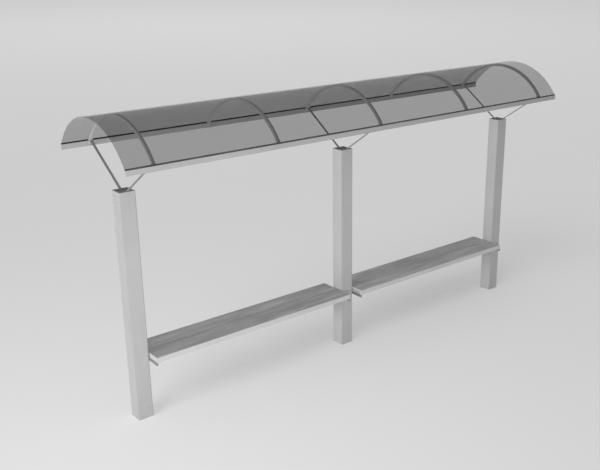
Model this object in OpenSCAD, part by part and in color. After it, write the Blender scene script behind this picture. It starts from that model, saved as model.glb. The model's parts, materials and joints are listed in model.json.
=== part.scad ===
// Open bus shelter: three square posts in a line, a bench in each bay between them, and a
// barrel-shaped translucent roof that stands on pairs of splayed flat struts.
// +X runs along the shelter, the front is -Y and +Z is up. "Left" is -X.
// The origin is the centre of the middle post's base, at ground level.

/* [Layout] */
// Distance between the centres of neighbouring posts
bay = 2128; // [1700:1:2600]
// Height of the posts above the ground
post_h = 1900; // [1600:10:2060]
// Height of the underside of the eave beams
eave_z = 2148; // [2050:1:2600]
// How far the roof runs past the centres of the end posts
roof_overhang = 226; // [150:1:400]

/* [Posts] */
// Width of a square post
post_w = 130; // [90:2:160]
// Wall of a post
post_wall = 5; // [3:0.5:8]
// Outer corner radius of a post
post_r = 10; // [9:0.5:16]
// Thickness of the plate that closes the foot of a post
post_base_t = 8; // [5:1:20]
// Depth of the cap plate below the rim of a post
cap_recess = 12; // [6:1:30]
// Thickness of the cap plate
cap_t = 6; // [3:0.5:12]

/* [Roof] */
// Width of the roof over the outside of the sheet, at the top of the beams
roof_w = 1062; // [860:2:1300]
// Height of the crown above the top of the beams
roof_rise = 286; // [220:2:340]
// Thickness of the roof sheet
sheet_t = 6; // [3:0.5:12]
// Height of the edge gasket above the beam
gasket_h = 11; // [8:0.5:25]
// Thickness of the gasket's outer lip
gasket_lip = 3; // [2:0.5:4]
// Thickness of the gasket under the edge of the sheet
gasket_sole = 3; // [1:0.5:5]

/* [Steelwork] */
// Height of an eave beam
beam_h = 40; // [30:1:60]
// Depth of an eave beam, from its outer to its inner face
beam_d = 16; // [14:1:24]
// Wall of an eave beam
beam_wall = 2; // [1:0.25:2.25]
// Outer corner radius of an eave beam
beam_r = 3; // [2.5:0.25:4]
// How far the outer face of a beam stands outside the sheet
beam_lap = 5; // [4.5:0.5:7]
// Thickness of the cap on each end of a beam
beam_cap_t = 3; // [2:0.5:6]
// Width of a curved rib along the roof
rib_w = 20; // [14:1:40]
// Depth of a curved rib, across its curve
rib_t = 24; // [16:1:30]
// Wall of a rib's tube
rib_wall = 2; // [1.5:0.5:4]
// Width of a strut
strut_w = 20; // [14:1:40]
// Thickness of a strut
strut_t = 5; // [4:0.5:10]
// Distance in from the beam at which a strut's lower face meets the rib
strut_head_in = 28; // [15:1:60]

/* [Benches] */
// Height of the seat above the ground
seat_h = 562; // [400:1:650]
// Depth of a bench from front to back
bench_w = 378; // [300:2:500]
// Thickness of a seat board
board_t = 39; // [25:1:60]
// Thickness of the steel band and ledge round a bench
band_t = 4; // [3:0.5:6]
// Width of the ledge that carries the boards, from the outer face of the band
ledge_w = 30; // [20:1:50]
// Number of bearers across the frame of a bench
bearers = 2; // [1:1:4]
// Width of a bearer
bearer_w = 40; // [25:1:80]
// Height of the bar under each end of a bench
bracket_h = 25; // [15:1:50]
// How far the end of a bench rests on that bar
bracket_seat = 7; // [4:1:20]

/* [Clearances] */
// Gap between the end of a bench and a post
bench_gap = 5; // [3:1:15]
// Gap between the two boards of a bench
board_gap = 4; // [2:0.5:10]
// Gap between the boards and the band round them
board_play = 3; // [1:0.5:6]
// Height at which the struts pass over the rim of a post
rim_gap = 1; // [0.5:0.5:4]
// Clearance between parts that are fitted into or against each other
fit_gap = 0.3; // [0.1:0.1:0.6]

/* [Hidden] */
$fn = 180;

// Colours
painted_steel = [0.72, 0.72, 0.72];
dark_steel = [0.5, 0.5, 0.5];
band_steel = [0.82, 0.82, 0.82];
tinted_sheet = [0.35, 0.35, 0.36, 0.55];
black_rubber = [0.15, 0.15, 0.15];
dark_timber = [0.4, 0.39, 0.38];

// Posts
post_in_w = post_w - 2 * post_wall;
cap_w = post_in_w - 2 * fit_gap;
cap_top = post_h - cap_recess;

// Roof
beam_top = eave_z + beam_h;
roof_half_l = bay + roof_overhang;
beam_out_y = roof_w / 2 + beam_lap;
beam_in_y = beam_out_y - beam_d;
beam_mid_y = (beam_out_y + beam_in_y) / 2;
sheet_r = (pow(roof_w / 2, 2) + pow(roof_rise, 2)) / (2 * roof_rise);
arch_z = beam_top + roof_rise - sheet_r;
rib_r = sheet_r - sheet_t - fit_gap;
rib_in_r = rib_r - rib_t;

// Struts: the lower face clears the inner edge of the post's rim and ends under the rib
rim_y = post_in_w / 2;
rim_z = post_h + rim_gap;
strut_head_y = beam_in_y - strut_head_in;
strut_head_z = arch_z + sqrt(pow(rib_in_r, 2) - pow(strut_head_y, 2));
strut_slope = (strut_head_z - rim_z) / (strut_head_y - rim_y);
strut_end_z = strut_head_z + strut_slope * strut_head_in;
strut_rise = strut_t * sqrt(1 + pow(strut_slope, 2));
strut_foot_y = rim_y - (rim_z - cap_top) / strut_slope;

// Benches
bench_l = bay - post_w - 2 * bench_gap;
bench_h = board_t + band_t;
bench_z = seat_h - bench_h;
bracket_w = bench_gap + bracket_seat;
board_l = bench_l - 2 * (band_t + board_play);
board_w = (bench_w - 2 * (band_t + board_play) - board_gap) / 2;
window_l = (bench_l - 2 * ledge_w - bearers * bearer_w) / (bearers + 1);

// Rectangle with rounded corners, centred
module rounded_rect(w, h, r) {
    square([w, h - 2 * r], center = true);
    square([w - 2 * r, h], center = true);
    for (sx = [-1, 1], sy = [-1, 1])
        translate([sx * (w / 2 - r), sy * (h / 2 - r)])
            circle(r);
}

// Runs an outline drawn in the YZ plane along X, from x0 to x1
module along_x(x0, x1) {
    translate([x0, 0, 0])
        rotate([90, 0, 90])
            linear_extrude(x1 - x0)
                children();
}

// Outline of an arched band between two radii, cut off level at z_low and plumb at half_w
module arch_band(r_out, r_in, z_low, half_w = roof_w) {
    intersection() {
        translate([0, arch_z])
            difference() {
                circle(r_out);
                circle(r_in);
            }
        translate([-half_w, z_low])
            square([2 * half_w, 2 * r_out]);
    }
}

// Square steel tube, closed by a plate at its foot and open at the top
module post(side) {
    color(painted_steel)
        translate([side * bay, 0, 0])
            difference() {
                linear_extrude(post_h)
                    rounded_rect(post_w, post_w, post_r);
                translate([0, 0, post_base_t])
                    linear_extrude(post_h)
                        rounded_rect(post_in_w, post_in_w, post_r - post_wall);
            }
}

// Plate set a little below the rim of a post, which carries the feet of its struts
module post_cap(side) {
    color(dark_steel)
        translate([side * bay, 0, cap_top - cap_t])
            linear_extrude(cap_t)
                rounded_rect(cap_w, cap_w, post_r - post_wall);
}

// Flat strut from the cap of a post up to the underside of a rib, near its end.
// y_side: -1 is the front
module strut(side, y_side) {
    color(dark_steel)
        translate([side * bay, 0, 0])
            along_x(-strut_w / 2, strut_w / 2)
                intersection() {
                    polygon([
                        [y_side * strut_foot_y, cap_top],
                        [y_side * beam_in_y, strut_end_z],
                        [y_side * beam_in_y, strut_end_z + strut_rise],
                        [y_side * (strut_foot_y - strut_rise / strut_slope), cap_top]
                    ]);
                    translate([0, arch_z])
                        circle(rib_in_r - fit_gap);
                }
}

// Narrow tube along one eave, on edge
module eave_beam(y_side) {
    beam_half_l = roof_half_l - beam_cap_t;
    color(painted_steel)
        along_x(-beam_half_l, beam_half_l)
            translate([y_side * beam_mid_y, eave_z + beam_h / 2])
                difference() {
                    rounded_rect(beam_d, beam_h, beam_r);
                    rounded_rect(beam_d - 2 * beam_wall, beam_h - 2 * beam_wall, beam_r - beam_wall);
                }
}

// Plate that closes one end of an eave beam
module beam_cap(side, y_side) {
    cap_x = side * (roof_half_l - beam_cap_t / 2);
    color(painted_steel)
        along_x(cap_x - beam_cap_t / 2, cap_x + beam_cap_t / 2)
            translate([y_side * beam_mid_y, eave_z + beam_h / 2])
                rounded_rect(beam_d, beam_h, beam_r);
}

// Tube bent into an arch under the sheet, between the inner faces of the beams.
// half_bays: its place, in half bays from the middle post
module rib(half_bays) {
    hollow_half_w = rib_w / 2 - rib_wall;
    color(painted_steel)
        translate([half_bays * bay / 2, 0, 0])
            difference() {
                along_x(-rib_w / 2, rib_w / 2)
                    arch_band(rib_r, rib_in_r, eave_z, beam_in_y);
                along_x(-hollow_half_w, hollow_half_w)
                    arch_band(rib_r - rib_wall, rib_in_r + rib_wall, eave_z - rib_wall);
            }
}

// Curved translucent sheet in one piece over the whole roof
module roof_sheet() {
    color(tinted_sheet)
        along_x(-roof_half_l, roof_half_l)
            arch_band(sheet_r, sheet_r - sheet_t, beam_top + gasket_sole);
}

// Rubber strip that seats one long edge of the sheet on its beam
module gasket(y_side) {
    color(black_rubber)
        along_x(-roof_half_l, roof_half_l)
            intersection() {
                difference() {
                    arch_band(sheet_r + gasket_lip, sheet_r - sheet_t, beam_top);
                    arch_band(sheet_r + fit_gap, 1, beam_top + gasket_sole);
                }
                translate([y_side * roof_w / 2 - roof_w / 4, beam_top])
                    square([roof_w / 2, gasket_h]);
            }
}

// Welded frame of one bench: a band all round, a ledge under the boards and bearers across
module bench_frame(side) {
    color(band_steel)
        translate([side * bay / 2 - bench_l / 2, -bench_w / 2, bench_z])
            difference() {
                cube([bench_l, bench_w, bench_h]);
                translate([band_t, band_t, band_t])
                    cube([bench_l - 2 * band_t, bench_w - 2 * band_t, bench_h]);
                for (i = [0 : bearers])
                    translate([ledge_w + i * (window_l + bearer_w), ledge_w, -band_t])
                        cube([window_l, bench_w - 2 * ledge_w, 3 * band_t]);
            }
}

// Seat board, one of two on a bench
module board(side, y_side) {
    color(dark_timber)
        translate([side * bay / 2, y_side * (board_gap + board_w) / 2, seat_h - board_t / 2])
            cube([board_l, board_w, board_t], center = true);
}

// Bar on edge across the face of a post, under the end of a bench.
// face: -1 for the left face of the post, 1 for the right face
module bracket(side, face) {
    bracket_x = side * bay + face * (post_w + bracket_w) / 2;
    color(dark_steel)
        translate([bracket_x, 0, bench_z - bracket_h / 2])
            cube([bracket_w, bench_w, bracket_h], center = true);
}

post(-1);  // post_left
post(0);  // post_middle
post(1);  // post_right
post_cap(-1);  // post_cap_left
post_cap(0);  // post_cap_middle
post_cap(1);  // post_cap_right
strut(-1, -1);  // strut_front_left
strut(0, -1);  // strut_front_middle
strut(1, -1);  // strut_front_right
strut(-1, 1);  // strut_back_left
strut(0, 1);  // strut_back_middle
strut(1, 1);  // strut_back_right
eave_beam(-1);  // eave_beam_front
eave_beam(1);  // eave_beam_back
beam_cap(-1, -1);  // beam_cap_front_left
beam_cap(1, -1);  // beam_cap_front_right
beam_cap(-1, 1);  // beam_cap_back_left
beam_cap(1, 1);  // beam_cap_back_right
rib(-2);  // rib_end_left
rib(-1);  // rib_bay_left
rib(0);  // rib_middle
rib(1);  // rib_bay_right
rib(2);  // rib_end_right
roof_sheet();
gasket(-1);  // gasket_front
gasket(1);  // gasket_back
bench_frame(-1);  // bench_frame_left
bench_frame(1);  // bench_frame_right
board(-1, -1);  // board_front_left
board(-1, 1);  // board_back_left
board(1, -1);  // board_front_right
board(1, 1);  // board_back_right
bracket(-1, 1);  // bracket_left_post
bracket(0, -1);  // bracket_middle_post_left
bracket(0, 1);  // bracket_middle_post_right
bracket(1, -1);  // bracket_right_post
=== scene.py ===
"""The looks of an open bus shelter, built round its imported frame.

Everything is in metres in the frame's own axes: +X runs along the shelter, the front is -Y and
+Z is up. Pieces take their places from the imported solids, so they follow the frame.
"""

import json
import math
import random

import bmesh
import bpy
from mathutils import Matrix, Vector, noise


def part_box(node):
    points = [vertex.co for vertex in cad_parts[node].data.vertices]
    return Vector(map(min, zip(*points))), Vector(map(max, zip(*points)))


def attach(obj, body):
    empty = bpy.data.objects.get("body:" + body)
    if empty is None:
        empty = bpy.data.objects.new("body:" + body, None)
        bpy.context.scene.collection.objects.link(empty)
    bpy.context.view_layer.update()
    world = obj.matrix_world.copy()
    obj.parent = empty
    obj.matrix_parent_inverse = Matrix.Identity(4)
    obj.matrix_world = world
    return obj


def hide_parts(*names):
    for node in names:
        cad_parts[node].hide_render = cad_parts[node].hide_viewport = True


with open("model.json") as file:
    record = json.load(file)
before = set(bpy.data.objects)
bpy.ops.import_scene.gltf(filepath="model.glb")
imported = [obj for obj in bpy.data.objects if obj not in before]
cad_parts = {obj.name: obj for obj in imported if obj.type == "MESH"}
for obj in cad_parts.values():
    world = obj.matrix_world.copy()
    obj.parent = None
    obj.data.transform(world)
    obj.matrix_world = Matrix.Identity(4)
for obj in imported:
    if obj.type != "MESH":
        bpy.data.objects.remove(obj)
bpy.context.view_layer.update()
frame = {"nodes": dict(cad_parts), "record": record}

MM = 0.001

# Camera, for a picture 600 wide and 470 high
CAMERA_PLACE = (-4.828, -5.736, 3.629)
CAMERA_HEADING = 49.68      # degrees from +X towards +Y
CAMERA_DOWN = 18.78         # degrees below level
CAMERA_LENS = 51.28
CAMERA_SENSOR = 36.0
CAMERA_SHIFT = -0.0765

# Floor and lights. Suns have a strength, a width and a tilt from straight down in degrees, and the
# way their light travels, in degrees from +X towards +Y. Softboxes have a place, an aim and a power.
FLOOR_SIZE = 400.0
FLOOR_GREY = 0.80
WORLD_STRENGTH = 0.40
SUNS = {
    "overhead": dict(strength=0.97, width=70.0, tilt=12.0, heading=60.0, on="shelter", shadow=True),
    "floor_even": dict(strength=0.46, width=5.0, tilt=0.0, heading=0.0, on="ground", shadow=False),
    "floor_soft": dict(strength=0.82, width=34.0, tilt=50.0, heading=18.0, on="ground", shadow=True),
}
SOFTBOXES = {
    "front_key": dict(place=(-2.85, -3.67, 1.4), aim=(-1.5, 0.0, 1.2), power=64.0, size=1.0,
                      on="shelter", shadow=True),
    "side_low": dict(place=(-18.0, -1.9, 2.0), aim=(0.0, 0.0, 1.2), power=1350.0, size=2.4,
                     on="standing", shadow=True),
    "side_high": dict(place=(-6.9, -0.8, 3.5), aim=(0.0, 0.0, 2.0), power=175.0, size=1.2,
                      on="roof", shadow=True),
    "back_fill": dict(place=(7.0, 8.0, 0.9), aim=(0.0, 0.0, 1.2), power=300.0, size=3.0,
                      on="shelter", shadow=True),
    "floor_near": dict(place=(-3.5, -1.2, 5.0), aim=(-3.5, -1.2, 0.0), power=64.0, size=2.0,
                       on="ground", shadow=False),
    "floor_far": dict(place=(16.0, 30.0, 30.0), aim=(16.0, 30.0, 0.0), power=1200.0, size=8.0,
                      on="ground", shadow=False),
}

# Paints and other finishes. The greys are linear.
FRAME_GREY = 0.46
BEAM_GREY = 0.40
# Darker than the frame paint: painted shade for the ribs under the roof.
RIB_SHADED_GREY = 0.41
DARK_GREY = 0.25
BENCH_GREY = 0.56
TIMBER_DARK = 0.25
TIMBER_LIGHT = 0.52
PAINT_ROUGHNESS = 0.6
PAINT_DUST = 0.15           # how far dust hides paint that faces straight up
DUST_GREY = 0.32
DARKENING_TOP = 0.75            # height in metres where the darkening towards the ground has faded out
SHEET_ALPHA = 0.29          # of one face: light crosses two of them
NOISE_SHIFT = 7.3           # added along X and Y to the coordinates that noise_at uses

# Shared sizes
EDGE_RADIUS = 1.0 * MM
FINE_EDGE_RADIUS = 0.5 * MM
EDGE_SEGMENTS = 2
MERGE_DISTANCE = 0.01 * MM
FLAT_ANGLE = math.radians(0.5)
SHARP_ANGLE = math.radians(30)
SMOOTH_ANGLE = math.radians(40)
SUN_DISTANCE = 8.0          # where a sun's marker stands; its light doesn't depend on it
SCREW_SEED = 12
FIRST_BOARD_SEED = 31


# ---------------------------------------------------------------- materials

def add_node(tree, kind, inputs=None, **settings):
    """Adds a shader node. An input is given as a number, a colour or another node's socket."""
    made = tree.nodes.new("ShaderNode" + kind)
    for key, value in settings.items():
        setattr(made, key, value)
    for key, value in (inputs or {}).items():
        if isinstance(value, bpy.types.NodeSocket):
            tree.links.new(value, made.inputs[key])
        else:
            made.inputs[key].default_value = value
    return made


def new_material(name):
    """An empty material with its tree, and its place coordinates in metres."""
    made = bpy.data.materials.new(name)
    made.use_nodes = True
    tree = made.node_tree
    tree.nodes.clear()
    place = add_node(tree, "TexCoord").outputs["Object"]
    return made, tree, place


def finish_material(tree, colour, roughness, height, bump_depth, **surface):
    """Joins colour, roughness and bump to one Principled shader. Constants go on its sockets."""
    bump = add_node(tree, "Bump", {"Height": height, "Distance": bump_depth, "Strength": 1.0})
    inputs = {"Base Color": colour, "Roughness": roughness, "Normal": bump.outputs[0]}
    inputs.update({key.replace("_", " "): value for key, value in surface.items()})
    shader = add_node(tree, "BsdfPrincipled", inputs)
    output = add_node(tree, "OutputMaterial")
    tree.links.new(shader.outputs[0], output.inputs["Surface"])


def grey(value):
    return (value, value, value, 1.0)


def noise_at(tree, place, scale, detail=3.0, stretch=(1.0, 1.0, 1.0), roughness=0.55):
    """Noise from 0 to 1. A stretch under 1 draws it out along that axis."""
    mapped = add_node(tree, "Mapping", {
        "Vector": place,
        "Location": (NOISE_SHIFT, NOISE_SHIFT, 0.0),
        "Scale": stretch,
    })
    return add_node(tree, "TexNoise", {
        "Vector": mapped.outputs[0], "Scale": scale, "Detail": detail, "Roughness": roughness,
    }).outputs[0]


def remap(tree, value, low, high, to_low=0.0, to_high=1.0):
    return add_node(tree, "MapRange", {
        "Value": value, "From Min": low, "From Max": high, "To Min": to_low, "To Max": to_high,
    }).outputs[0]


def times(tree, a, b):
    return add_node(tree, "Math", {0: a, 1: b}, operation="MULTIPLY").outputs[0]


def plus(tree, a, b):
    return add_node(tree, "Math", {0: a, 1: b}, operation="ADD").outputs[0]


def mix_colour(tree, factor, a, b):
    """Colour a where the factor is 0 and b where it is 1."""
    made = tree.nodes.new("ShaderNodeMix")
    made.data_type = "RGBA"
    for socket, value in ((made.inputs[0], factor), (made.inputs[6], a), (made.inputs[7], b)):
        if isinstance(value, bpy.types.NodeSocket):
            tree.links.new(value, socket)
        else:
            socket.default_value = value
    return made.outputs[2]


def darken_towards_ground(tree, place, colour, tone):
    """Darkens a colour towards the ground, evenly and in noisy patches, fading out at the height set
    with the paints above.
    """
    height = add_node(tree, "SeparateXYZ", {0: place}).outputs["Z"]
    low = remap(tree, height, 0.0, DARKENING_TOP, 1.0, 0.0)
    dark_patches = times(tree, low, noise_at(tree, place, 26.0, 6.0))
    darkening = plus(tree, times(tree, low, 0.14), remap(tree, dark_patches, 0.3, 0.75, 0.0, 0.25))
    return mix_colour(tree, darkening, colour, grey(tone * 0.6))


def painted_corner_shade(tree, facing, colour, tone):
    """Painted shade on upright round corners: darkens the colour where the surface faces both along X
    and along Y.
    """
    across = times(tree, facing["X"], facing["Y"])
    corner = add_node(tree, "Math", {0: across}, operation="ABSOLUTE").outputs[0]
    return mix_colour(tree, remap(tree, corner, 0.08, 0.5, 0.0, 0.34), colour, grey(tone * 0.35))


def paint(name, tone, wear_tone):
    """Satin paint on steel: cloudy tone, fine speckle, faint runs, darker towards the ground,
    painted shade on upright round corners, dust on faces that look up, and paint rubbed thin along
    the edges."""
    made, tree, place = new_material(name)
    cloud = noise_at(tree, place, 2.2, 5.0)
    speckle = noise_at(tree, place, 340.0, 2.0)
    runs = noise_at(tree, place, 30.0, 4.0, stretch=(1.0, 1.0, 0.06))
    colour = mix_colour(tree, remap(tree, cloud, 0.3, 0.7), grey(tone * 0.95), grey(tone * 1.04))
    colour = mix_colour(tree, remap(tree, speckle, 0.35, 0.75, 0.0, 0.25), colour, grey(tone * 1.15))
    colour = mix_colour(tree, remap(tree, runs, 0.52, 0.75, 0.0, 0.22), colour, grey(tone * 0.72))
    # Darker towards the ground, in an even fade and in noisy patches.
    colour = darken_towards_ground(tree, place, colour, tone)

    normal = add_node(tree, "NewGeometry").outputs["Normal"]
    facing = add_node(tree, "SeparateXYZ", {0: normal}).outputs
    # Painted shade along the upright round corners.
    colour = painted_corner_shade(tree, facing, colour, tone)
    settled = times(tree, remap(tree, facing["Z"], 0.6, 1.0), noise_at(tree, place, 60.0, 5.0))
    colour = mix_colour(tree, times(tree, settled, PAINT_DUST), colour, grey(DUST_GREY))

    edge = add_node(tree, "Attribute", attribute_name="worn").outputs["Fac"]
    rubbed = times(tree, edge, remap(tree, noise_at(tree, place, 45.0, 4.0), 0.5, 0.62))
    colour = mix_colour(tree, rubbed, colour, grey(wear_tone))

    base = remap(tree, cloud, 0.3, 0.7, PAINT_ROUGHNESS - 0.05, PAINT_ROUGHNESS + 0.07)
    roughness = plus(tree, base, times(tree, settled, 0.2))
    peel = plus(tree, noise_at(tree, place, 420.0, 2.0), times(tree, speckle, 0.35))
    finish_material(tree, colour, roughness, peel, 0.12 * MM, Specular_IOR_Level=0.25)
    return made


def timber_material():
    """Weathered softwood with its grain along X: growth rings, fibres, greyed streaks and stains."""
    made, tree, place = new_material("weathered_timber")
    wander = noise_at(tree, place, 9.0, 3.0, stretch=(0.12, 1.0, 1.0))
    drawn_out = add_node(tree, "Mapping", {"Vector": place, "Scale": (0.05, 1.0, 0.8)}).outputs[0]
    rings = add_node(tree, "TexWave", {
        "Vector": drawn_out,
        "Scale": 17.0, "Distortion": 9.0, "Detail": 3.0, "Detail Scale": 1.4,
        "Phase Offset": times(tree, wander, 12.0),
    }, wave_type="BANDS", bands_direction="Y").outputs["Fac"]
    fibres = noise_at(tree, place, 520.0, 3.0, stretch=(0.012, 1.0, 1.0), roughness=0.7)
    streaks = noise_at(tree, place, 15.0, 4.0, stretch=(0.1, 1.0, 1.0))
    stains = noise_at(tree, place, 5.5, 5.0, stretch=(0.45, 1.0, 1.0))
    pores = noise_at(tree, place, 900.0, 2.0, stretch=(0.05, 1.0, 1.0))

    middle = (TIMBER_DARK + TIMBER_LIGHT) / 2
    colour = mix_colour(tree, remap(tree, rings, 0.15, 0.95), grey(TIMBER_LIGHT), grey(TIMBER_DARK))
    colour = mix_colour(tree, 0.6, colour, grey(middle))
    colour = mix_colour(tree, remap(tree, fibres, 0.35, 0.7, 0.0, 0.4), colour, grey(TIMBER_DARK))
    colour = mix_colour(tree, remap(tree, streaks, 0.53, 0.66, 0.0, 0.7), colour, grey(TIMBER_LIGHT))
    colour = mix_colour(tree, remap(tree, streaks, 0.45, 0.33, 0.0, 0.6), colour, grey(TIMBER_DARK))
    colour = mix_colour(tree, remap(tree, stains, 0.5, 0.7, 0.0, 0.5), colour, grey(TIMBER_DARK))
    colour = mix_colour(tree, remap(tree, pores, 0.62, 0.75, 0.0, 0.5), colour, grey(TIMBER_DARK / 2))

    roughness = remap(tree, streaks, 0.3, 0.7, 0.62, 0.82)
    relief = plus(tree, times(tree, rings, -0.5), times(tree, fibres, 0.9))
    relief = plus(tree, relief, times(tree, pores, -0.25))
    finish_material(tree, colour, roughness, relief, 0.45 * MM, Specular_IOR_Level=0.3)
    return made


def sheet_material():
    """Grey tinted clear sheet, with a thin film of dust and water marks."""
    made, tree, place = new_material("tinted_sheet")
    film = noise_at(tree, place, 3.0, 6.0, stretch=(1.0, 0.45, 0.45))
    spots = noise_at(tree, place, 95.0, 3.0)
    dust = times(tree, remap(tree, film, 0.4, 0.75), remap(tree, spots, 0.35, 0.8))
    colour = mix_colour(tree, remap(tree, dust, 0.0, 1.0, 0.0, 0.35), grey(0.004), grey(0.02))
    roughness = remap(tree, dust, 0.0, 0.8, 0.08, 0.3)
    finish_material(
        tree, colour, roughness, film, 0.15 * MM, Alpha=SHEET_ALPHA, IOR=1.58,
        Specular_IOR_Level=0.04,
    )
    return made


def rubber_material():
    """Black weathering rubber, matt, with a chalky bloom in places."""
    made, tree, place = new_material("black_rubber")
    bloom = noise_at(tree, place, 40.0, 5.0, stretch=(0.2, 1.0, 1.0))
    grain = noise_at(tree, place, 700.0, 2.0)
    colour = mix_colour(tree, remap(tree, bloom, 0.45, 0.75), grey(0.05), grey(0.1))
    roughness = remap(tree, bloom, 0.3, 0.7, 0.6, 0.8)
    finish_material(tree, colour, roughness, grain, 0.1 * MM)
    return made


def zinc_material():
    """Zinc plated fasteners: dull metal with a mottled bloom."""
    made, tree, place = new_material("zinc_plate")
    mottle = noise_at(tree, place, 260.0, 4.0)
    bloom = noise_at(tree, place, 55.0, 3.0)
    colour = mix_colour(tree, remap(tree, mottle, 0.3, 0.7), grey(0.38), grey(0.55))
    colour = mix_colour(tree, remap(tree, bloom, 0.55, 0.8, 0.0, 0.5), colour, grey(0.25))
    roughness = remap(tree, mottle, 0.3, 0.7, 0.34, 0.52)
    finish_material(tree, colour, roughness, mottle, 0.05 * MM, Metallic=0.9)
    return made


def floor_material():
    """Plain pale floor with hardly any tone of its own."""
    made, tree, place = new_material("pale_floor")
    tone = noise_at(tree, place, 0.7, 2.0)
    colour = mix_colour(tree, tone, grey(FLOOR_GREY * 0.995), grey(FLOOR_GREY * 1.005))
    finish_material(tree, colour, 0.9, tone, 0.01 * MM, Specular_IOR_Level=0.0)
    return made


FRAME_PAINT = paint("frame_paint", FRAME_GREY, 0.5)
BEAM_PAINT = paint("beam_paint", BEAM_GREY, 0.45)
# The ribs get a darker copy of the frame paint, as painted shade under the roof.
RIB_SHADED_PAINT = paint("rib_shaded_paint", RIB_SHADED_GREY, 0.45)
DARK_PAINT = paint("dark_paint", DARK_GREY, 0.3)
BENCH_PAINT = paint("bench_paint", BENCH_GREY, 0.6)
TIMBER = timber_material()
SHEET = sheet_material()
RUBBER = rubber_material()
ZINC = zinc_material()

SLOT_MATERIAL = {
    "frame_steel": FRAME_PAINT,
    "bench_steel": BENCH_PAINT,
    "dark_steel": DARK_PAINT,
    "timber": TIMBER,
    "tinted_sheet": SHEET,
    "gasket": RUBBER,
}


# ---------------------------------------------------------------- making pieces

def new_collection(name, parent):
    made = bpy.data.collections.new(name)
    parent.children.link(made)
    return made


GROUND = new_collection("ground", bpy.context.scene.collection)
SHELTER = new_collection("shelter", bpy.context.scene.collection)
STANDING = new_collection("standing", SHELTER)
ROOF = new_collection("roof", SHELTER)
LIT = {"ground": GROUND, "shelter": SHELTER, "standing": STANDING, "roof": ROOF}
ROOF_WORDS = ("rib_", "eave_", "beam_", "gasket_", "roof_")


def add_piece(name, bm, slot, material=None, stands_for=(), smooth=SMOOTH_ANGLE):
    """Turns a bmesh into a piece that rides on the frame. Its finish is its slot's, unless a
    material is given."""
    bmesh.ops.recalc_face_normals(bm, faces=bm.faces)
    mesh = bpy.data.meshes.new(name)
    bm.to_mesh(mesh)
    bm.free()
    mesh.materials.append(material or SLOT_MATERIAL[slot])
    mesh.polygons.foreach_set("use_smooth", [True] * len(mesh.polygons))
    mesh.set_sharp_from_angle(angle=smooth)
    piece = bpy.data.objects.new(name, mesh)
    home = ROOF if any(word in name for word in ROOF_WORDS) else STANDING
    home.objects.link(piece)
    weighted = piece.modifiers.new("weighted normals", "WEIGHTED_NORMAL")
    weighted.keep_sharp = True
    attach(piece, "root")
    if stands_for:
        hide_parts(*stands_for)


def packed_slots():
    """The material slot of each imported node."""
    return {row["node"]: row["material_slot"] for row in frame["record"]["subparts"]}


def round_edges(name, radius):
    """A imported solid's mesh with its flat faces made whole and its sharp edges rounded. The
    rounded strips are marked as worn, for the paint."""
    source = frame["nodes"][name].data.copy()
    split_normals = source.attributes.get("custom_normal")
    if split_normals:
        source.attributes.remove(split_normals)
    bm = bmesh.new()
    bm.from_mesh(source)
    bmesh.ops.remove_doubles(bm, verts=bm.verts, dist=MERGE_DISTANCE)
    bmesh.ops.dissolve_limit(bm, angle_limit=FLAT_ANGLE, verts=bm.verts, edges=bm.edges)
    worn = bm.faces.layers.float.new("worn")
    sharp = [e for e in bm.edges if len(e.link_faces) == 2 and e.calc_face_angle(0.0) > SHARP_ANGLE]
    rounded = bmesh.ops.bevel(
        bm, geom=sharp, offset=radius, segments=EDGE_SEGMENTS, profile=0.5,
        affect="EDGES", clamp_overlap=True,
    )
    for face in rounded["faces"]:
        face[worn] = 1.0
    return bm


SLOT_OF = packed_slots()


def finish_node(name, radius=EDGE_RADIUS, material=None):
    """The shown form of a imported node: the same shape with rounded edges and a real finish."""
    add_piece(name + "_finished", round_edges(name, radius), SLOT_OF[name], material, (name,))


def nodes_named(start):
    return sorted(n for n in frame["nodes"] if n.startswith(start))


# ---------------------------------------------------------------- weld beads and fasteners

BEAD_SIDES = 8
BEAD_STEP = 1.6 * MM
BEAD_PITCH = 3.6 * MM
BEAD_RIPPLE = 0.13
BEAD_WOBBLE = 0.12
BEAD_WOBBLE_SCALE = 300.0
BEAD_END_SIZE = 0.45


def walk(points, step, closed):
    """Points along a polyline, about a step apart."""
    ends = points + [points[0]] if closed else points
    out = []
    for a, b in zip(ends, ends[1:]):
        count = max(1, round((b - a).length / step))
        out += [a.lerp(b, i / count) for i in range(count)]
    if not closed:
        out.append(ends[-1])
    return out


def add_bead(bm, points, radius, closed=False):
    """A rippled weld bead along a polyline, for the corner between two faces."""
    points = [Vector(p) for p in points]
    path = walk(points, BEAD_STEP, closed)
    rings = []
    travelled = 0.0
    for i, here in enumerate(path):
        before = path[i - 1] if closed or i else here
        after = path[(i + 1) % len(path)] if closed or i + 1 < len(path) else here
        run = (after - before).normalized()
        travelled += (here - before).length
        wobble = noise.noise(here * BEAD_WOBBLE_SCALE) * BEAD_WOBBLE
        size = radius * (1.0 + BEAD_RIPPLE * math.cos(math.tau * travelled / BEAD_PITCH) + wobble)
        if not closed and i in (0, len(path) - 1):
            size *= BEAD_END_SIZE
        side = run.orthogonal().normalized()
        turn = [Matrix.Rotation(math.tau * k / BEAD_SIDES, 3, run) for k in range(BEAD_SIDES)]
        rings.append([bm.verts.new(here + size * (t @ side)) for t in turn])
    pairs = list(zip(rings, rings[1:]))
    if closed:
        pairs.append((rings[-1], rings[0]))
    for ring, following in pairs:
        join_rings(bm, ring, following)
    if not closed:
        bm.faces.new(rings[0])
        bm.faces.new(rings[-1])


def join_rings(bm, ring, following):
    """Quads between two rings, turned so that nearest corners meet."""
    count = len(ring)
    shift = min(range(count), key=lambda s: sum(
        (ring[k].co - following[(k + s) % count].co).length for k in range(count)))
    for k in range(count):
        bm.faces.new((
            ring[k], ring[(k + 1) % count],
            following[(k + 1 + shift) % count], following[(k + shift) % count],
        ))


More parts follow.
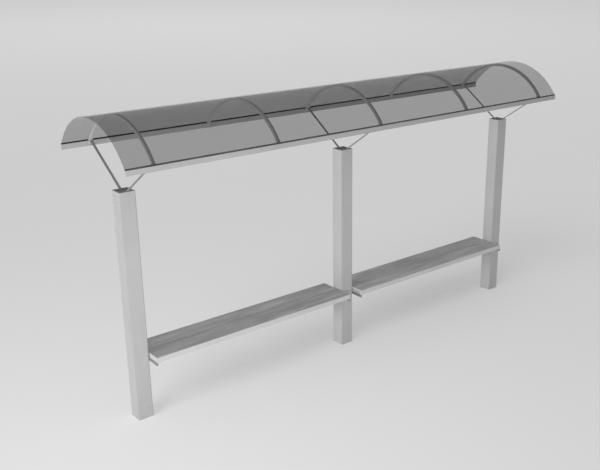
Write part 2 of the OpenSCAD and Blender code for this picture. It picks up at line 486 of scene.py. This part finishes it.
def rounded_loop(x0, x1, y0, y1, z, radius, corner_points=5):
    """A level rectangle with round corners, as a closed list of points."""
    loop = []
    corners = ((x1, y1, 0), (x0, y1, 90), (x0, y0, 180), (x1, y0, 270))
    for x, y, start in corners:
        cx = x - math.copysign(radius, x - (x0 + x1) / 2)
        cy = y - math.copysign(radius, y - (y0 + y1) / 2)
        for i in range(corner_points):
            turn = math.radians(start + 90 * i / (corner_points - 1))
            loop.append(Vector((cx + radius * math.cos(turn), cy + radius * math.sin(turn), z)))
    return loop


def add_skin(bm, rings):
    """Quads between rings whose corners match, closed with a face at each end."""
    for ring, following in zip(rings, rings[1:]):
        count = len(ring)
        for k in range(count):
            bm.faces.new((ring[k], ring[(k + 1) % count], following[(k + 1) % count], following[k]))
    bm.faces.new(rings[0])
    bm.faces.new(rings[-1])


def add_lathe(bm, centre, profile, sides, twist=0.0):
    """A turned solid that hangs down from centre. Its profile lists (radius, drop) from the top."""
    rings = []
    for radius, drop in profile:
        rings.append([
            bm.verts.new(centre + Vector((
                radius * math.cos(twist + math.tau * k / sides),
                radius * math.sin(twist + math.tau * k / sides),
                -drop,
            )))
            for k in range(sides)
        ])
    add_skin(bm, rings)


SCREW_RADIUS = 4.8 * MM
SCREW_HEIGHT = 3 * MM
SCREW_RIM = 0.6 * MM
SCREW_SIDES = 24
DOME_ANGLES = (0, 18, 36, 54, 66)
SOCKET_RADIUS = 2.1 * MM
SOCKET_SIDES = 6
SOCKET_RISE = 0.2 * MM      # how far up inside the head the ring starts
SOCKET_DROP = 0.35 * MM     # the ring's height, of which what is past the rise shows
SOCKET_FLOOR = 0.05 * MM    # below the ring's start, so it lies inside the head and is hidden


def add_pan_screw(bm, centre, twist):
    """A low domed screw head that hangs from centre. The head is closed: a six-sided ring that
    stands just proud of its flat end takes the place of a socket."""
    dome = []
    for angle in DOME_ANGLES:
        turn = math.radians(angle)
        drop = SCREW_RIM + (SCREW_HEIGHT - SCREW_RIM) * math.sin(turn)
        dome.append((SCREW_RADIUS * math.cos(turn), drop))
    add_lathe(bm, centre, [(SCREW_RADIUS, 0.0)] + dome, SCREW_SIDES)
    deepest = dome[-1][1]
    add_lathe(bm, centre - Vector((0.0, 0.0, deepest - SOCKET_RISE)), [
        (SOCKET_RADIUS, 0.0), (SOCKET_RADIUS, SOCKET_DROP),
        (SOCKET_RADIUS * 0.8, SOCKET_DROP), (SOCKET_RADIUS * 0.75, SOCKET_FLOOR),
    ], SOCKET_SIDES, twist)


# ---------------------------------------------------------------- steelwork

BENCH_EDGE_RADIUS = 0.8 * MM
ROOF_EDGE_RADIUS = 0.6 * MM

for name in ["post_left", "post_middle", "post_right"] + nodes_named("bracket_"):
    finish_node(name)
for name in nodes_named("rib_"):
    finish_node(name, material=RIB_SHADED_PAINT)
for name in nodes_named("eave_beam"):
    finish_node(name, material=BEAM_PAINT)
for name in nodes_named("beam_cap_"):
    finish_node(name, FINE_EDGE_RADIUS, BEAM_PAINT)
for name in nodes_named("post_cap_") + nodes_named("strut_"):
    finish_node(name, FINE_EDGE_RADIUS)
for name in nodes_named("bench_frame_"):
    finish_node(name, BENCH_EDGE_RADIUS)
for name in nodes_named("gasket_") + nodes_named("roof_sheet"):
    finish_node(name, ROOF_EDGE_RADIUS)


def arch_axis_height():
    """Height of the axis that the roof sheet is curved about."""
    low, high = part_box("roof_sheet")
    rise = high.z - low.z
    radius = (high.y ** 2 + rise ** 2) / (2 * rise)
    return high.z - radius


ARCH_Z = arch_axis_height()


def from_axis(point):
    return math.hypot(point.y, point.z - ARCH_Z)


def node_points(name):
    return [v.co.copy() for v in frame["nodes"][name].data.vertices]


NEAR = 0.1 * MM             # points this close to a level count as on it
HEAD_NEAR = 0.3 * MM        # the same for the distance from the axis of the roof's curve
STRUT_FOOT_BEAD = 2.2 * MM
STRUT_FOOT_GROW = 0.8 * MM
STRUT_HEAD_BEAD = 2.0 * MM
RIB_BEAD = 2.0 * MM
RIB_BEAD_TOP = 3.5 * MM     # below the top of the beam
CAP_BEAD = 1.9 * MM
CAP_BEAD_LIFT = 0.4 * MM
CAP_CORNER = 5 * MM
BRACKET_BEAD = 2.2 * MM
BRACKET_BEAD_INSET = 11 * MM


def weld_struts():
    """Welds round each strut's foot, on the cap, and along the two edges of its head."""
    for name in nodes_named("strut_"):
        bm = bmesh.new()
        points = node_points(name)
        low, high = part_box(name)
        foot = [p for p in points if p.z < low.z + NEAR]
        y0 = min(p.y for p in foot)
        y1 = max(p.y for p in foot)
        grow = STRUT_FOOT_GROW
        add_bead(bm, [
            (low.x - grow, y0 - grow, low.z + grow), (high.x + grow, y0 - grow, low.z + grow),
            (high.x + grow, y1 + grow, low.z + grow), (low.x - grow, y1 + grow, low.z + grow),
        ], STRUT_FOOT_BEAD, closed=True)
        reach = max(from_axis(p) for p in points)
        head = [p for p in points if from_axis(p) > reach - HEAD_NEAR]
        nearest = min(head, key=lambda p: abs(p.y))
        farthest = max(head, key=lambda p: abs(p.y))
        for end in (nearest, farthest):
            add_bead(bm, [(low.x + MM, end.y, end.z), (high.x - MM, end.y, end.z)], STRUT_HEAD_BEAD)
        add_piece("welds_" + name, bm, "dark_steel")


def weld_ribs():
    """Welds down both sides and under each rib where it meets the beams."""
    beam_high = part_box("eave_beam_back")[1]
    top = beam_high.z - RIB_BEAD_TOP
    for name in nodes_named("rib_"):
        bm = bmesh.new()
        low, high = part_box(name)
        for side in (-1, 1):
            y = side * high.y
            add_bead(bm, [
                (low.x, y, top), (low.x, y, low.z), (high.x, y, low.z), (high.x, y, top),
            ], RIB_BEAD)
        add_piece("welds_" + name, bm, "frame_steel")


def weld_caps():
    """A weld all round the inside of each post, above its cap plate."""
    for name in nodes_named("post_cap_"):
        bm = bmesh.new()
        low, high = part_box(name)
        loop = rounded_loop(low.x, high.x, low.y, high.y, high.z + CAP_BEAD_LIFT, CAP_CORNER)
        add_bead(bm, loop, CAP_BEAD, closed=True)
        add_piece("welds_" + name, bm, "dark_steel")


def weld_brackets():
    """Welds over and under each bracket, along the face of its post."""
    for name in nodes_named("bracket_"):
        bm = bmesh.new()
        low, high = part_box(name)
        post_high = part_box(post_of(name))[1]
        x = low.x if abs(low.x - post_high.x) < MM else high.x
        reach = post_high.y - BRACKET_BEAD_INSET
        for z in (low.z, high.z):
            add_bead(bm, [(x, -reach, z), (x, reach, z)], BRACKET_BEAD)
        add_piece("welds_" + name, bm, SLOT_OF[name])


def post_of(bracket):
    """The post that a bracket stands against: the nearest one."""
    low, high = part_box(bracket)
    middle = (low.x + high.x) / 2
    posts = ("post_left", "post_middle", "post_right")
    return min(posts, key=lambda post: abs(sum(c.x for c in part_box(post)) / 2 - middle))


LEDGE_SCREWS = 6            # along each long ledge
LEDGE_SCREW_INSET = 17 * MM  # from the outer face of the band


def bearer_places(points, level):
    """The middle of each bearer along X. The corners under a bench lie on lines across it: two for
    the ledge at each end, and two for each bearer between them."""
    lines = sorted({round(p.x, 4) for p in points if p.z < level + NEAR})
    return [(a + b) / 2 for a, b in zip(lines[2:-2:2], lines[3:-2:2])]


def screw_boards(rng):
    """Screws up through the ledges and bearers of each bench into its boards."""
    for name in nodes_named("bench_frame_"):
        bm = bmesh.new()
        low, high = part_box(name)
        board_low, board_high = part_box(name.replace("bench_frame", "board_front"))
        quarter = (board_high.y - board_low.y) / 4
        places = [
            (x, side * abs(y))
            for x in bearer_places(node_points(name), low.z)
            for y in (board_low.y + quarter, board_high.y - quarter)
            for side in (-1, 1)
        ]
        places += [
            (low.x + (high.x - low.x) * (i + 0.5) / LEDGE_SCREWS, side * (high.y - LEDGE_SCREW_INSET))
            for i in range(LEDGE_SCREWS)
            for side in (-1, 1)
        ]
        for x, y in places:
            add_pan_screw(bm, Vector((x, y, low.z)), rng.uniform(0.0, math.tau))
        add_piece("screws_" + name, bm, "bench_steel", ZINC)


# ---------------------------------------------------------------- seat boards

BOARD_STEPS = 220           # along the grain
BOARD_ROWS = 56             # across the top
SIDE_ROWS = 6
UNDER_ROWS = 10
EDGE_POINTS = 5
TOP_EDGE_RADIUS = 4.0 * MM
LOWER_EDGE_RADIUS = 2.0 * MM
CHECKS = 3                  # drying cracks in each board
CHECK_HALF_WIDTH = 0.7 * MM
CHECK_DEPTH = 1.6 * MM
SWELL_DEPTH = 0.25 * MM
NICK_DEPTH = 1.6 * MM
NICK_START = 0.35
CUP_DEPTH = 0.5 * MM        # how far the middle of the top has sunk
END_STEPS = (0.0, 0.6 * MM, 1.8 * MM, 4.0 * MM)
END_INSETS = (2.4 * MM, 1.1 * MM, 0.3 * MM, 0.0)
OUTER_BAND = 1.5 * MM       # points this close to a face are moved by its weathering
BOARD_SMOOTH_ANGLE = math.radians(60)


def edge_arc(low, high, y, z, radius, start):
    """Points round one long edge of a board, a quarter turn clockwise from the start angle."""
    cy = y - math.copysign(radius, y - (low.y + high.y) / 2)
    cz = z - math.copysign(radius, z - (low.z + high.z) / 2)
    arc = []
    for i in range(EDGE_POINTS):
        turn = math.radians(start - 90 * i / (EDGE_POINTS - 1))
        arc.append((cy + radius * math.cos(turn), cz + radius * math.sin(turn), False, None))
    return arc


def top_rows(low, high, checks):
    """Points across the top of a board, with three at each check for its lips and its bottom."""
    left = low.y + TOP_EDGE_RADIUS
    right = high.y - TOP_EDGE_RADIUS
    rows = [left + (right - left) * i / BOARD_ROWS for i in range(1, BOARD_ROWS)]
    near = 3 * CHECK_HALF_WIDTH
    marks = [(y, None) for y in rows if all(abs(y - c) > near for c in checks)]
    for number, c in enumerate(checks):
        marks += [(c - CHECK_HALF_WIDTH, None), (c, number), (c + CHECK_HALF_WIDTH, None)]
    return [(y, high.z, True, number) for y, number in sorted(marks, key=lambda m: m[0])]


def board_outline(low, high, checks):
    """A board's outline across its grain, as (y, z, is_top, check) from one lower edge round."""
    rise = high.z - low.z
    outline = edge_arc(low, high, low.y, low.z, LOWER_EDGE_RADIUS, 270)
    for i in range(1, SIDE_ROWS):
        outline.append((low.y, low.z + rise * i / SIDE_ROWS, False, None))
    outline += edge_arc(low, high, low.y, high.z, TOP_EDGE_RADIUS, 180)
    outline += top_rows(low, high, checks)
    outline += edge_arc(low, high, high.y, high.z, TOP_EDGE_RADIUS, 90)
    for i in range(SIDE_ROWS - 1, 0, -1):
        outline.append((high.y, low.z + rise * i / SIDE_ROWS, False, None))
    outline += edge_arc(low, high, high.y, low.z, LOWER_EDGE_RADIUS, 0)
    for i in range(1, UNDER_ROWS):
        outline.append((high.y + (low.y - high.y) * i / UNDER_ROWS, low.z, False, None))
    return outline


def board_stations(length):
    """Distances along a board, each with how far its outline is drawn in to soften the ends."""
    distances = list(END_STEPS)
    distances += [length * i / BOARD_STEPS for i in range(1, BOARD_STEPS)]
    distances += [length - step for step in reversed(END_STEPS)]
    insets = list(END_INSETS) + [0.0] * (BOARD_STEPS - 1) + list(reversed(END_INSETS))
    return list(zip(distances, insets))


def check_depth(share, span, swell):
    """Depth of a drying check at a share of the board's length. It tapers to both ends."""
    start, reach = span
    inside = max(0.0, 1.0 - abs(share - start - reach / 2) / (reach / 2))
    return CHECK_DEPTH * min(1.0, 3.0 * inside) * (0.7 + 0.5 * abs(swell))


def surface_depth(place, seed, is_top, across):
    """How far a point lies below the sawn face, and the noise of the swell it sits on."""
    x, y, z = place
    swell = noise.noise(Vector((x * 1.6, y * 38.0, z * 38.0 + seed)))
    nick = max(0.0, noise.noise(Vector((x * 14.0, y * 60.0, z * 60.0 + seed))) - NICK_START)
    depth = SWELL_DEPTH * (1.0 + swell) + NICK_DEPTH * nick * (0.0 if is_top else 1.0)
    if is_top:
        depth += CUP_DEPTH * (1.0 - across ** 2)
    return depth, swell


def drawn_in(value, low, high, amount, whole):
    """Moves a coordinate towards the middle. Points off the outer band move only if whole is set."""
    middle = (low + high) / 2
    if abs(value - middle) <= (high - low) / 2 - OUTER_BAND and not whole:
        return value
    return value + math.copysign(min(amount, abs(value - middle)), middle - value)


def weathered_board(name, seed):
    """A seat board with rounded edges, low undulations, drying checks and softened ends."""
    rng = random.Random(seed)
    low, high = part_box(name)
    width = high.y - low.y
    shares = [(0.1 + 0.27 * i, 0.27 + 0.27 * i) for i in range(CHECKS)]
    checks = sorted(low.y + width * rng.uniform(first, last) for first, last in shares)
    spans = [(rng.uniform(0.0, 0.75), rng.uniform(0.12, 0.4)) for _ in checks]
    outline = board_outline(low, high, checks)
    middle_y = (low.y + high.y) / 2
    length = high.x - low.x
    bm = bmesh.new()
    rings = []
    for along, pull in board_stations(length):
        x = low.x + along
        ring = []
        for y, z, is_top, check in outline:
            across = (y - middle_y) / (width / 2)
            depth, swell = surface_depth((x, y, z), seed, is_top, across)
            if check is not None:
                depth += check_depth(along / length, spans[check], swell)
            ring.append(bm.verts.new((
                x,
                drawn_in(y, low.y, high.y, depth + pull, pull > 0.0),
                drawn_in(z, low.z, high.z, depth + pull, pull > 0.0),
            )))
        rings.append(ring)
    add_skin(bm, rings)
    add_piece(name + "_finished", bm, "timber", stands_for=(name,), smooth=BOARD_SMOOTH_ANGLE)


weld_struts()
weld_ribs()
weld_caps()
weld_brackets()
screw_boards(random.Random(SCREW_SEED))
for number, name in enumerate(nodes_named("board_")):
    weathered_board(name, FIRST_BOARD_SEED + number)


# ---------------------------------------------------------------- floor, lights and camera

def aim(thing, target):
    """Turns a light or camera so that its -Z looks at the target."""
    look = Vector(target) - thing.location
    thing.rotation_euler = look.to_track_quat("-Z", "Y").to_euler()


def add_floor():
    bm = bmesh.new()
    bmesh.ops.create_grid(bm, x_segments=2, y_segments=2, size=FLOOR_SIZE / 2)
    mesh = bpy.data.meshes.new("floor")
    bm.to_mesh(mesh)
    bm.free()
    mesh.materials.append(floor_material())
    floor = bpy.data.objects.new("floor", mesh)
    GROUND.objects.link(floor)


def add_world():
    world = bpy.data.worlds.new("studio")
    world.use_nodes = True
    background = world.node_tree.nodes["Background"]
    background.inputs["Color"].default_value = grey(1.0)
    background.inputs["Strength"].default_value = WORLD_STRENGTH
    bpy.context.scene.world = world


def add_light(name, kind, place, target, on, shadow, **settings):
    """A light that falls on one collection only, and isn't itself seen in reflections."""
    data = bpy.data.lights.new(name, kind)
    data.use_shadow = shadow
    for key, value in settings.items():
        setattr(data, key, value)
    light = bpy.data.objects.new(name, data)
    light.location = place
    light.visible_glossy = False
    light.light_linking.receiver_collection = LIT[on]
    bpy.context.scene.collection.objects.link(light)
    aim(light, target)


def add_lights():
    """The shelter and the floor have their own lights, so that the floor stays even and pale
    while the shelter's faces differ in tone."""
    for name, sun in SUNS.items():
        heading = math.radians(sun["heading"])
        slope = math.tan(math.radians(sun["tilt"]))
        travel = Vector((slope * math.cos(heading), slope * math.sin(heading), -1.0))
        add_light(name, "SUN", -SUN_DISTANCE * travel, (0.0, 0.0, 0.0), sun["on"], sun["shadow"],
                  energy=sun["strength"], angle=math.radians(sun["width"]))
    for name, box in SOFTBOXES.items():
        add_light(name, "AREA", box["place"], box["aim"], box["on"], box["shadow"],
                  energy=box["power"], shape="DISK", size=box["size"])


def add_camera():
    data = bpy.data.cameras.new("camera")
    data.sensor_width = CAMERA_SENSOR
    data.lens = CAMERA_LENS
    data.shift_x = CAMERA_SHIFT
    data.clip_end = FLOOR_SIZE
    camera = bpy.data.objects.new("camera", data)
    camera.location = CAMERA_PLACE
    camera.rotation_euler = (
        math.radians(90.0 - CAMERA_DOWN), 0.0, math.radians(CAMERA_HEADING - 90.0))
    bpy.context.scene.collection.objects.link(camera)
    bpy.context.scene.camera = camera


add_floor()
add_world()
add_lights()
add_camera()
bpy.context.scene.view_settings.view_transform = "Standard"
